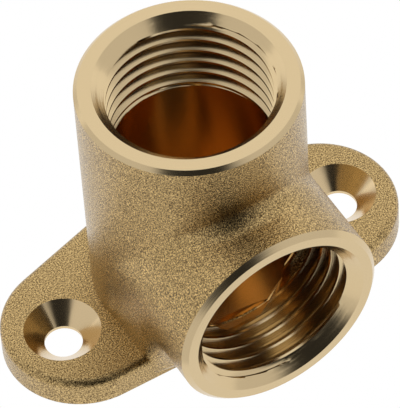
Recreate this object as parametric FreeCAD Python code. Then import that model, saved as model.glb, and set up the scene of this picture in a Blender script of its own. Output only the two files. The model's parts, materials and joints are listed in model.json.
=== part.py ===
"""Wall plate elbow in brass: two threaded sockets at a right angle on a plate with two screw lugs."""
import math
import os

import FreeCAD
import Part
from FreeCAD import Vector

# Plate, lying on the wall at z = 0
plate_thickness = 3.8
plate_edge_round = 1.0
lug_centre_x = 15.9
lug_centre_y = 0.2
lug_radius = 9.3
plate_back_radius = 14.1

# Screw holes through the lugs
screw_spacing = 36.84
screw_hole_radius = 2.2
countersink_radius = 4.45
back_relief_radius = 4.6
back_relief_depth = 1.15

# Upper socket, standing on the plate with its axis along z
upper_height = 34.9
upper_radius = 12.75
upper_rim_chamfer = 0.45
upper_thread_depth = 11.1
chamber_radius = 10.0
chamber_floor = 3.0

# Side socket, opening towards -y
side_length = 18.2
side_step = 0.2
side_wall_gap = 0.15
side_rim_chamfer = 0.6
flank_length = 8.4
cheek_end = 11.5

# Shared by both sockets
thread_bore_radius = 9.3155
mouth_radius = 10.7
crease_round = 2.2

# The side socket is a little slimmer than the upper one and just clears the wall
side_radius = upper_radius - side_step
side_axis_height = side_radius + side_wall_gap

UP = Vector(0, 0, 1)
OUT = Vector(0, -1, 0)


def disc(radius, height, start, axis):
    """A cylinder from a start point along an axis."""
    return Part.makeCylinder(radius, height, start, axis)


def plate():
    """Plate with round lug ends, a straight front edge and a swollen back around the upper socket."""
    reach = math.hypot(lug_centre_x, lug_centre_y)
    climb = math.acos((plate_back_radius - lug_radius) / reach) + math.atan2(lug_centre_y, lug_centre_x)
    ends = {}
    for side in (-1, 1):
        centre = Vector(side * lug_centre_x, lug_centre_y, 0)
        normal = Vector(side * math.cos(climb), math.sin(climb), 0)
        ends[side] = {
            "front": centre + Vector(0, -lug_radius, 0),
            "tip": centre + Vector(side * lug_radius, 0, 0),
            "back": centre + normal * lug_radius,
            "swell": normal * plate_back_radius,
        }
    left = ends[-1]
    right = ends[1]
    outline = Part.Wire([
        Part.makeLine(left["front"], right["front"]),
        Part.Arc(right["front"], right["tip"], right["back"]).toShape(),
        Part.makeLine(right["back"], right["swell"]),
        Part.Arc(right["swell"], Vector(0, plate_back_radius, 0), left["swell"]).toShape(),
        Part.makeLine(left["swell"], left["back"]),
        Part.Arc(left["back"], left["tip"], left["front"]).toShape(),
    ])
    solid = Part.Face(outline).extrude(UP * plate_thickness)
    top_edges = [e for e in solid.Edges if e.BoundBox.ZMin > plate_thickness - 0.01]
    return solid.makeFillet(plate_edge_round, top_edges)


def half_round_section(y):
    """Lower half of the side socket's outline at one distance from the upper axis, in four edges."""
    centre = Vector(0, y, side_axis_height)
    spots = []
    for angle in (180, 202.5, 225, 270, 315, 337.5, 360):
        turn = math.radians(angle)
        spots.append(centre + Vector(math.cos(turn), 0, math.sin(turn)) * side_radius)
    return Part.Wire([
        Part.makeLine(spots[6], spots[0]),
        Part.Arc(spots[0], spots[1], spots[2]).toShape(),
        Part.Arc(spots[2], spots[3], spots[4]).toShape(),
        Part.Arc(spots[4], spots[5], spots[6]).toShape(),
    ])


def flank_section(y):
    """Straight sided outline under the side socket at one distance from the upper axis, in four edges."""
    corners = [
        Vector(side_radius, y, side_axis_height),
        Vector(-side_radius, y, side_axis_height),
        Vector(-side_radius, y, 0),
        Vector(side_radius, y, 0),
    ]
    return Part.Wire([Part.makeLine(corners[i], corners[(i + 1) % 4]) for i in range(4)])


def bosses():
    """Upper socket and side socket with its straight flanks, joined by a rounded crease."""
    under_side = Part.makeBox(4 * side_radius, 2 * side_radius, side_axis_height / 2,
                              Vector(-2 * side_radius, -2 * side_radius - flank_length, 0))
    upper = disc(upper_radius, upper_height, Vector(0, 0, 0), UP).cut(under_side)
    arch = Part.makeCylinder(side_radius, side_length, Vector(0, 0, side_axis_height), OUT)
    above = Part.makeBox(4 * side_radius, side_length, 2 * side_radius,
                         Vector(-2 * side_radius, -side_length, side_axis_height))
    below = Part.makeBox(4 * side_radius, side_length - cheek_end, 2 * side_radius,
                         Vector(-2 * side_radius, -side_length, side_axis_height - 2 * side_radius))
    flank = Part.makeBox(2 * side_radius, flank_length, side_axis_height,
                         Vector(-side_radius, -flank_length, 0))
    cheek = Part.makeLoft([flank_section(-flank_length), half_round_section(-cheek_end)], True, True)
    side = arch.common(above).multiFuse([flank, cheek, arch.common(below)]).removeSplitter()
    body = upper.fuse(side).removeSplitter()
    crease = [e for e in body.Edges if is_crease(e)]
    return body.makeFillet(crease_round, crease)


def is_crease(edge):
    """True for an edge that lies on both the upper socket's wall and the side socket's wall."""
    first, last = edge.ParameterRange
    for share in (0.2, 0.5, 0.8):
        spot = edge.valueAt(first + (last - first) * share)
        if abs(math.hypot(spot.x, spot.y) - upper_radius) > 0.01 or spot.y > -0.5:
            return False
        rise = max(spot.z - side_axis_height, 0.0)
        if abs(math.hypot(spot.x, rise) - side_radius) > 0.01:
            return False
    return True


def rim_cutter(radius, chamfer, mouth, axis):
    """Ring that bevels the outer corner of a socket's rim."""
    height = 2 * chamfer
    start = mouth - axis * chamfer
    ring = disc(radius + 2, height, start, axis)
    return ring.cut(Part.makeCone(radius, radius - height, height, start, axis))


def mouth_cutter(mouth, axis):
    """Cone that opens the thread at a socket's mouth."""
    depth = mouth_radius - thread_bore_radius
    return Part.makeCone(thread_bore_radius, mouth_radius, depth, mouth - axis * depth, axis)


def screw_cutter(x):
    """Countersunk screw hole with a shallow relief on the wall side."""
    depth = countersink_radius - screw_hole_radius
    top = Vector(x, 0, plate_thickness - depth)
    hole = disc(screw_hole_radius, plate_thickness, Vector(x, 0, 0), UP)
    cone = Part.makeCone(screw_hole_radius, countersink_radius, depth, top, UP)
    relief = disc(back_relief_radius, back_relief_depth, Vector(x, 0, 0), UP)
    return hole.multiFuse([cone, relief])


def elbow():
    """The whole fitting as one solid."""
    upper_mouth = Vector(0, 0, upper_height)
    side_mouth = Vector(0, -side_length, side_axis_height)
    thread_end = upper_height - upper_thread_depth
    solid = bosses().fuse(plate())
    cutters = [
        rim_cutter(upper_radius, upper_rim_chamfer, upper_mouth, UP),
        rim_cutter(side_radius, side_rim_chamfer, side_mouth, OUT),
        disc(thread_bore_radius, upper_thread_depth, upper_mouth, UP * -1),
        disc(chamber_radius, thread_end - chamber_floor, Vector(0, 0, chamber_floor), UP),
        disc(thread_bore_radius, side_length, side_mouth, OUT * -1),
        mouth_cutter(upper_mouth, UP),
        mouth_cutter(side_mouth, OUT),
        screw_cutter(-screw_spacing / 2),
        screw_cutter(screw_spacing / 2),
    ]
    for cutter in cutters:
        solid = solid.cut(cutter)
    return solid.removeSplitter()


os.makedirs("parts", exist_ok=True)
part = elbow()
part.exportStep("parts/elbow_body.step")
print("elbow_body", part.isValid(), len(part.Solids), part.BoundBox)
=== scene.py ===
"""Brass wall plate elbow on a pale floor: threads, blasted casting and turned faces."""
import json
import math

import bmesh
import bpy
from mathutils import Matrix, Vector

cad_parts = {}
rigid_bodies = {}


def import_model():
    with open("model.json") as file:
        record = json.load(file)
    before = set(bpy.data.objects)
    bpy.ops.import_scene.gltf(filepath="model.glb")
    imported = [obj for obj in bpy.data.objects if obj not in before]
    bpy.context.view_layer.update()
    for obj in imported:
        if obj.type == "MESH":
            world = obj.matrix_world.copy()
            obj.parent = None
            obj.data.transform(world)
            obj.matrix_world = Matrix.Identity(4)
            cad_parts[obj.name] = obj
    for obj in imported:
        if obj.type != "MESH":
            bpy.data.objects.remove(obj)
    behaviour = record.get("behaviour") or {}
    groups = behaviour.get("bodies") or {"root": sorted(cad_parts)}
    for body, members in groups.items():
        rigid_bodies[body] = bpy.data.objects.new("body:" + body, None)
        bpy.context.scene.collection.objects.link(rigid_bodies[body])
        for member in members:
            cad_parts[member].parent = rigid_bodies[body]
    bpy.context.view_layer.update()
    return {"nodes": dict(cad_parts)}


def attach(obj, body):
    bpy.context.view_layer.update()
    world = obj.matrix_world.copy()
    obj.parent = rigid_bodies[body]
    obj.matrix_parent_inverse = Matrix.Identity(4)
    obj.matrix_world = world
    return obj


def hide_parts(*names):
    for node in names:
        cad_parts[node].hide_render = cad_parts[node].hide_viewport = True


MM = 0.001

# Sizes shared with the solid, in millimetres
UPPER_HEIGHT = 34.9
UPPER_THREAD_DEPTH = 11.1
UPPER_CHAMFER = 0.45
SIDE_LENGTH = 18.2
SIDE_AXIS = 12.7
SIDE_CHAMFER = 0.6
CREST = 9.3155
MOUTH = 10.7
CHAMBER = 10.0
HOLE_X = 18.42
COUNTERSINK = 4.45
PLATE = 3.8

# Half inch pipe thread, in millimetres, with its flank angle in degrees
PITCH = 1.814
THREAD_HEIGHT = 1.162
FLANK_LEAN = 27.5
CREST_FLAT = 0.302
ROOT_ROUND = 0.249
SIDE_THREAD_DEPTH = 10.9
UPPER_PHASE = 0.0
SIDE_PHASE = 0.35

# Ends of the groove and the mouth cone, in millimetres, with the cone's slope in degrees
GROOVE_START = 0.75
GROOVE_RUN = 0.7
GROOVE_END = 0.5
MOUTH_SLOPE = 42.0

# Fineness and reach of the solids that cut the threads
MOUTH_EASE = 0.04
BORE_EASE = 0.02
TAP_TOP = 0.6
LEAD_TURNS = 2
SPARE_TURNS = 6
TURN_STEPS = 144
MERGE = 1e-7

# Bounds that tell the finishes apart, in millimetres
MARGIN = 0.01
INSIDE = MOUTH + 0.05
CHAMBER_EDGE = CHAMBER - 0.1
SIDE_BORE_END = -9.0
BORE_BOTTOM = 2.5
SEAT_BOTTOM = 1.02
SAME_PLACE = 0.02

# Finishes, in the order of the material slots; the last is the deep bore, with painted shade
CAST, TURNED_UPPER, TURNED_SIDE, SEAT, BORE_PAINTED_SHADE = range(5)

# Colours of the brass
CAST_COLOUR = (0.45, 0.31, 0.14)
CAST_DARK = (0.085, 0.046, 0.014, 1)
CAST_LIGHT = (0.86, 0.61, 0.27, 1)
TURNED_COLOUR = (0.66, 0.51, 0.295)
SEAT_COLOUR = (0.72, 0.55, 0.32)
# The deep bore colour is darker and more orange than the turned brass: painted shade inside the bore
DEEP_BORE_PAINTED_SHADE = (0.66, 0.39, 0.14)
CAST_ROUGHNESS = 0.25
TURNED_ROUGHNESS = 0.18
SHARP_ANGLE = 28

# Camera, with angles in degrees, its place in metres and its focal length in pixels
CAMERA_AZIMUTH = -27.528
CAMERA_ELEVATION = 50.715
CAMERA_ROLL = -4.126
CAMERA_PLACE = (-0.14858, -0.28573, 0.40774)
FOCAL_PIXELS = 4497
IMAGE_HEIGHT = 408
SENSOR = 36

# Floor in metres, turned to the camera
FLOOR_FRONT = 0.030
FLOOR_BACK = 0.9
FLOOR_SIDE = 0.6
FLOOR_DROP = 0.0002
FLOOR_GREY = 0.92

# Soft boxes as name, place, size and brightness, and the point they face, in metres
SOFT_BOXES = (
    ("right_box", (0.51, 0.16, 0.27), (0.50, 0.40), 0.30),
    ("left_box", (-0.18, 0.52, 0.27), (0.60, 0.40), 0.30),
    ("back_box", (0.20, 0.42, 0.55), (0.70, 0.50), 0.26),
)
AIM = Vector((0, 0, 0.015))

# Bright surroundings with dark openings, each as a direction and the cosines of its rim and core
WORLD_LEVEL = 0.80
DARK_LEVEL = 0.03
DARK_SIDES = (
    ((-0.293, -0.561, 0.774), 0.848, 0.927),
    ((-0.150, -0.985, 0.080), 0.760, 0.900),
)


def clamp(value, low, high):
    """The value, kept between two limits."""
    return min(max(value, low), high)


def thread_profile():
    """One pitch of the groove as offsets along the axis and depths, from root centre to root centre."""
    swing = math.radians(90 - FLANK_LEAN)
    half = []
    for share in (0.0, 0.5, 1.0):
        turn = swing * share
        offset = ROOT_ROUND * math.sin(turn) - PITCH / 2
        half.append((offset, THREAD_HEIGHT - ROOT_ROUND * (1 - math.cos(turn))))
    foot_offset, foot_depth = half[-1]
    for share in (0.35, 0.7, 1.0):
        half.append((foot_offset - (CREST_FLAT / 2 + foot_offset) * share, foot_depth * (1 - share)))
    return half + [(-offset, depth) for offset, depth in reversed(half[1:])]


def tap_radius(rise, depth, thread_depth):
    """Radius of the tap at one height, from the thread, its faded ends and the mouth cone."""
    cone = MOUTH + MOUTH_EASE + rise / math.tan(math.radians(MOUTH_SLOPE))
    if rise <= -thread_depth:
        return max(CREST - BORE_EASE, cone)
    share = clamp((-rise - GROOVE_START) / GROOVE_RUN, 0.0, 1.0)
    share *= clamp((rise + thread_depth) / GROOVE_END, 0.0, 1.0)
    return max(CREST + BORE_EASE + depth * share, cone)


def tap(name, thread_depth, phase):
    """Closed solid that cuts a threaded mouth, with the rim's plane at zero and the hole along minus z."""
    profile = thread_profile()
    per_turn = len(profile)
    rows = per_turn * (int(thread_depth / PITCH) + SPARE_TURNS)
    verts = []
    for i in range(TURN_STEPS):
        turn = 2 * math.pi * i / TURN_STEPS
        for k in range(rows):
            offset, depth = profile[k % per_turn]
            rise = PITCH * (LEAD_TURNS - k // per_turn + i / TURN_STEPS + phase) - offset
            rise = clamp(rise, -thread_depth, TAP_TOP)
            radius = tap_radius(rise, depth, thread_depth)
            verts.append((radius * math.cos(turn) * MM, radius * math.sin(turn) * MM, rise * MM))
    faces = []
    for i in range(TURN_STEPS):
        here = i * rows
        there = (i + 1) % TURN_STEPS * rows
        shift = per_turn if i == TURN_STEPS - 1 else 0
        for k in range(rows - 1):
            above = there + max(k - shift, 0)
            below = there + max(k + 1 - shift, 0)
            faces.append((here + k, here + k + 1, below, above))
    mesh = bpy.data.meshes.new(name)
    mesh.from_pydata(verts, [], faces)
    close(mesh)
    shape = bpy.data.objects.new(name, mesh)
    bpy.context.scene.collection.objects.link(shape)
    return shape


def close(mesh):
    """Joins equal points, caps both ends and turns the faces outwards."""
    build = bmesh.new()
    build.from_mesh(mesh)
    bmesh.ops.remove_doubles(build, verts=build.verts, dist=MERGE)
    bmesh.ops.dissolve_degenerate(build, edges=build.edges, dist=MERGE)
    bmesh.ops.holes_fill(build, edges=[e for e in build.edges if e.is_boundary], sides=0)
    bmesh.ops.recalc_face_normals(build, faces=build.faces)
    build.to_mesh(mesh)
    build.free()


def cut(target, cutter):
    """Takes the cutter's volume out of the target and removes the cutter."""
    step = target.modifiers.new("cut", "BOOLEAN")
    step.operation = "DIFFERENCE"
    step.solver = "EXACT"
    step.object = cutter
    bpy.context.view_layer.update()
    graph = bpy.context.evaluated_depsgraph_get()
    result = bpy.data.meshes.new_from_object(target.evaluated_get(graph))
    target.modifiers.clear()
    target.data = result
    bpy.data.objects.remove(cutter)


def finish_of(spot):
    """Which finish a face at this place has."""
    x, y, z = (c / MM for c in spot)
    from_upper = math.hypot(x, y)
    from_side = math.hypot(x, z - SIDE_AXIS)
    if z > UPPER_HEIGHT - UPPER_CHAMFER + 2 * MARGIN:
        return TURNED_UPPER
    if y < -SIDE_LENGTH + SIDE_CHAMFER - 2 * MARGIN:
        return TURNED_SIDE
    if from_side < INSIDE and -SIDE_LENGTH < y < SIDE_BORE_END and from_upper > CHAMBER_EDGE:
        return TURNED_SIDE
    if from_upper < INSIDE and z > BORE_BOTTOM:
        # Below the thread the bore gets the darker colour with painted shade
        return TURNED_UPPER if z > UPPER_HEIGHT - UPPER_THREAD_DEPTH else BORE_PAINTED_SHADE
    for side in (-1, 1):
        in_seat = math.hypot(x - side * HOLE_X, y) < COUNTERSINK - MARGIN
        if in_seat and SEAT_BOTTOM < z < PLATE - MARGIN:
            return SEAT
    return CAST


def node(tree, kind, **values):
    """New shader node with its inputs set by name."""
    made = tree.nodes.new(kind)
    for key, value in values.items():
        if key in made.inputs:
            made.inputs[key].default_value = value
        else:
            setattr(made, key, value)
    return made


def metal(name, colour, roughness):
    """Plain metal material with its node tree and shader."""
    material = bpy.data.materials.new(name)
    material.use_nodes = True
    shader = material.node_tree.nodes["Principled BSDF"]
    shader.inputs["Base Color"].default_value = (*colour, 1)
    shader.inputs["Metallic"].default_value = 1.0
    shader.inputs["Roughness"].default_value = roughness
    return material, material.node_tree, shader


def casting_material():
    """Blasted brass: fine sparkling grain with darker pits."""
    material, tree, shader = metal("brass_casting", CAST_COLOUR, CAST_ROUGHNESS)
    place = tree.nodes.new("ShaderNodeTexCoord")
    grain = node(tree, "ShaderNodeTexNoise", Scale=6600.0, Detail=2.0, Roughness=0.6)
    tree.links.new(place.outputs["Object"], grain.inputs["Vector"])
    tint = tree.nodes.new("ShaderNodeValToRGB")
    dark, light = tint.color_ramp.elements
    dark.position = 0.36
    dark.color = CAST_DARK
    light.position = 0.68
    light.color = CAST_LIGHT
    tree.links.new(grain.outputs["Fac"], tint.inputs["Fac"])
    tree.links.new(tint.outputs["Color"], shader.inputs["Base Color"])
    bump = node(tree, "ShaderNodeBump", Strength=0.70, Distance=0.00008)
    tree.links.new(grain.outputs["Fac"], bump.inputs["Height"])
    tree.links.new(bump.outputs["Normal"], shader.inputs["Normal"])
    return material


def turned_material(name, across, colour):
    """Machined brass with fine tool rings. across names two axes and where the turning axis crosses them."""
    material, tree, shader = metal(name, colour, TURNED_ROUGHNESS)
    place = tree.nodes.new("ShaderNodeTexCoord")
    split = tree.nodes.new("ShaderNodeSeparateXYZ")
    tree.links.new(place.outputs["Object"], split.inputs["Vector"])
    joined = tree.nodes.new("ShaderNodeCombineXYZ")
    for slot, (axis, offset) in zip("XY", across):
        move = node(tree, "ShaderNodeMath", operation="ADD")
        move.inputs[1].default_value = -offset * MM
        tree.links.new(split.outputs[axis], move.inputs[0])
        tree.links.new(move.outputs[0], joined.inputs[slot])
    radius = node(tree, "ShaderNodeVectorMath", operation="LENGTH")
    tree.links.new(joined.outputs["Vector"], radius.inputs[0])
    rings = node(tree, "ShaderNodeTexNoise", Scale=5200.0, Detail=2.0)
    rings.noise_dimensions = "1D"
    tree.links.new(radius.outputs["Value"], rings.inputs["W"])
    bump = node(tree, "ShaderNodeBump", Strength=0.12, Distance=0.00004)
    tree.links.new(rings.outputs["Fac"], bump.inputs["Height"])
    tree.links.new(bump.outputs["Normal"], shader.inputs["Normal"])
    return material


def brass_materials():
    """The materials in the order of the finishes."""
    upper_axis = (("X", 0), ("Y", 0))
    side_axis = (("X", 0), ("Z", SIDE_AXIS))
    return (
        casting_material(),
        turned_material("brass_turned_upper", upper_axis, TURNED_COLOUR),
        turned_material("brass_turned_side", side_axis, TURNED_COLOUR),
        metal("brass_seat", SEAT_COLOUR, TURNED_ROUGHNESS)[0],
        # Deep bore: turned brass in a darker colour that paints the shade inside the bore
        turned_material("brass_chamber_painted_shade", upper_axis, DEEP_BORE_PAINTED_SHADE),
    )


def shallow_mouths(build):
    """Moves the inner ring of each mouth cone towards its rim, so that the cone gets its flatter slope."""
    deep = MOUTH - CREST
    lift = deep * (1 - math.tan(math.radians(MOUTH_SLOPE))) * MM
    for vert in build.verts:
        x, y, z = (c / MM for c in vert.co)
        on_upper = abs(math.hypot(x, y) - CREST) < SAME_PLACE
        if on_upper and abs(z - UPPER_HEIGHT + deep) < SAME_PLACE:
            vert.co.z += lift
        on_side = abs(math.hypot(x, z - SIDE_AXIS) - CREST) < SAME_PLACE
        if on_side and abs(y + SIDE_LENGTH - deep) < SAME_PLACE:
            vert.co.y -= lift


def dress(source):
    """The visible fitting: the solid's own form with its threads cut."""
    mesh = source.data.copy()
    mesh.name = "elbow_mesh"
    piece = bpy.data.objects.new("elbow", mesh)
    bpy.context.scene.collection.objects.link(piece)
    build = bmesh.new()
    build.from_mesh(mesh)
    bmesh.ops.remove_doubles(build, verts=build.verts, dist=10 * MERGE)
    shallow_mouths(build)
    build.to_mesh(mesh)
    build.free()
    mesh.materials.clear()
    upper = tap("upper_tap", UPPER_THREAD_DEPTH, UPPER_PHASE)
    upper.matrix_world = Matrix.Translation((0, 0, UPPER_HEIGHT * MM))
    cut(piece, upper)
    side = tap("side_tap", SIDE_THREAD_DEPTH, SIDE_PHASE)
    side_mouth = Matrix.Translation((0, -SIDE_LENGTH * MM, SIDE_AXIS * MM))
    side.matrix_world = side_mouth @ Matrix.Rotation(math.pi / 2, 4, "X")
    cut(piece, side)
    mesh = piece.data
    if "custom_normal" in mesh.attributes:
        mesh.attributes.remove(mesh.attributes["custom_normal"])
    mesh.materials.clear()
    for material in brass_materials():
        mesh.materials.append(material)
    for face in mesh.polygons:
        face.use_smooth = True
        face.material_index = finish_of(face.center)
    mesh.set_sharp_from_angle(angle=math.radians(SHARP_ANGLE))
    return piece


def floor_paint():
    """Pale paint that is plain white to the camera and in the metal's reflections."""
    paint = bpy.data.materials.new("floor_paint")
    paint.use_nodes = True
    tree = paint.node_tree
    shader = tree.nodes["Principled BSDF"]
    shader.inputs["Base Color"].default_value = (FLOOR_GREY, FLOOR_GREY, FLOOR_GREY, 1)
    shader.inputs["Roughness"].default_value = 0.9
    shader.inputs["Specular IOR Level"].default_value = 0.0
    path = tree.nodes.new("ShaderNodeLightPath")
    through = node(tree, "ShaderNodeMath", operation="MAXIMUM")
    tree.links.new(path.outputs["Is Glossy Ray"], through.inputs[0])
    tree.links.new(path.outputs["Is Transmission Ray"], through.inputs[1])
    seen = node(tree, "ShaderNodeMath", operation="MAXIMUM")
    tree.links.new(path.outputs["Is Camera Ray"], seen.inputs[0])
    tree.links.new(through.outputs[0], seen.inputs[1])
    glow = node(tree, "ShaderNodeEmission", Strength=1.0)
    blend = tree.nodes.new("ShaderNodeMixShader")
    tree.links.new(seen.outputs[0], blend.inputs["Fac"])
    tree.links.new(shader.outputs["BSDF"], blend.inputs[1])
    tree.links.new(glow.outputs["Emission"], blend.inputs[2])
    tree.links.new(blend.outputs["Shader"], tree.nodes["Material Output"].inputs["Surface"])
    return paint


def lay_floor():
    """Floor just under the plate, ending in front of the object."""
    corners = [
        (-FLOOR_SIDE, -FLOOR_FRONT, 0),
        (FLOOR_SIDE, -FLOOR_FRONT, 0),
        (FLOOR_SIDE, FLOOR_BACK, 0),
        (-FLOOR_SIDE, FLOOR_BACK, 0),
    ]
    sheet = bpy.data.meshes.new("floor")
    sheet.from_pydata(corners, [], [(0, 1, 2, 3)])
    floor = bpy.data.objects.new("floor", sheet)
    floor.rotation_euler.z = math.radians(CAMERA_AZIMUTH)
    floor.location.z = -FLOOR_DROP
    bpy.context.scene.collection.objects.link(floor)
    floor.data.materials.append(floor_paint())


def surroundings():
    """Bright studio all round with dark openings on the camera's side, and white to the camera."""
    world = bpy.data.worlds.new("studio")
    bpy.context.scene.world = world
    world.use_nodes = True
    tree = world.node_tree
    place = tree.nodes.new("ShaderNodeTexCoord")
    darkest = node(tree, "ShaderNodeMath", operation="MINIMUM")
    for slot, (toward, rim, core) in enumerate(DARK_SIDES):
        facing = node(tree, "ShaderNodeVectorMath", operation="DOT_PRODUCT")
        facing.inputs[1].default_value = toward
        tree.links.new(place.outputs["Generated"], facing.inputs[0])
        shade = node(tree, "ShaderNodeMapRange", interpolation_type="SMOOTHSTEP")
        shade.inputs["From Min"].default_value = rim
        shade.inputs["From Max"].default_value = core
        shade.inputs["To Min"].default_value = WORLD_LEVEL
        shade.inputs["To Max"].default_value = DARK_LEVEL
        tree.links.new(facing.outputs["Value"], shade.inputs["Value"])
        tree.links.new(shade.outputs["Result"], darkest.inputs[slot])
    path = tree.nodes.new("ShaderNodeLightPath")
    level = node(tree, "ShaderNodeMix", data_type="FLOAT")
    tree.links.new(path.outputs["Is Camera Ray"], level.inputs[0])
    tree.links.new(darkest.outputs[0], level.inputs[2])
    level.inputs[3].default_value = 1.0
    background = tree.nodes["Background"]
    background.inputs["Color"].default_value = (1, 1, 1, 1)
    tree.links.new(level.outputs[0], background.inputs["Strength"])


def lamps():
    """Soft boxes at the right, the left and the back."""
    for name, spot, size, level in SOFT_BOXES:
        lamp = bpy.data.lights.new(name, "AREA")
        lamp.shape = "RECTANGLE"
        lamp.size, lamp.size_y = size
        lamp.energy = level * math.pi * size[0] * size[1]
        box = bpy.data.objects.new(name, lamp)
        box.location = spot
        box.rotation_euler = (AIM - Vector(spot)).to_track_quat("-Z", "Y").to_euler()
        bpy.context.scene.collection.objects.link(box)


def camera():
    """Camera at the photograph's angle, with its own roll."""
    azimuth = math.radians(CAMERA_AZIMUTH)
    elevation = math.radians(CAMERA_ELEVATION)
    roll = math.radians(CAMERA_ROLL)
    right = Vector((math.cos(azimuth), math.sin(azimuth), 0))
    level_back = Vector((math.sin(azimuth), -math.cos(azimuth), 0))
    back = level_back * math.cos(elevation) + Vector((0, 0, math.sin(elevation)))
    up = back.cross(right)
    across = right * math.cos(roll) + up * math.sin(roll)
    rise = up * math.cos(roll) - right * math.sin(roll)
    lens = bpy.data.cameras.new("camera")
    lens.sensor_fit = "AUTO"
    lens.sensor_width = SENSOR
    lens.lens = FOCAL_PIXELS / IMAGE_HEIGHT * SENSOR
    lens.clip_start = 0.01
    eye = bpy.data.objects.new("camera", lens)
    turn = Matrix((across, rise, back)).transposed()
    eye.matrix_world = Matrix.Translation(CAMERA_PLACE) @ turn.to_4x4()
    bpy.context.scene.collection.objects.link(eye)
    bpy.context.scene.camera = eye


for thing in list(bpy.data.objects):
    bpy.data.objects.remove(thing)
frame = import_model()
bpy.context.scene.view_settings.view_transform = "Standard"
elbow = dress(frame["nodes"]["elbow_body"])
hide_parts("elbow_body")
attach(elbow, "root")
lay_floor()
surroundings()
lamps()
camera()
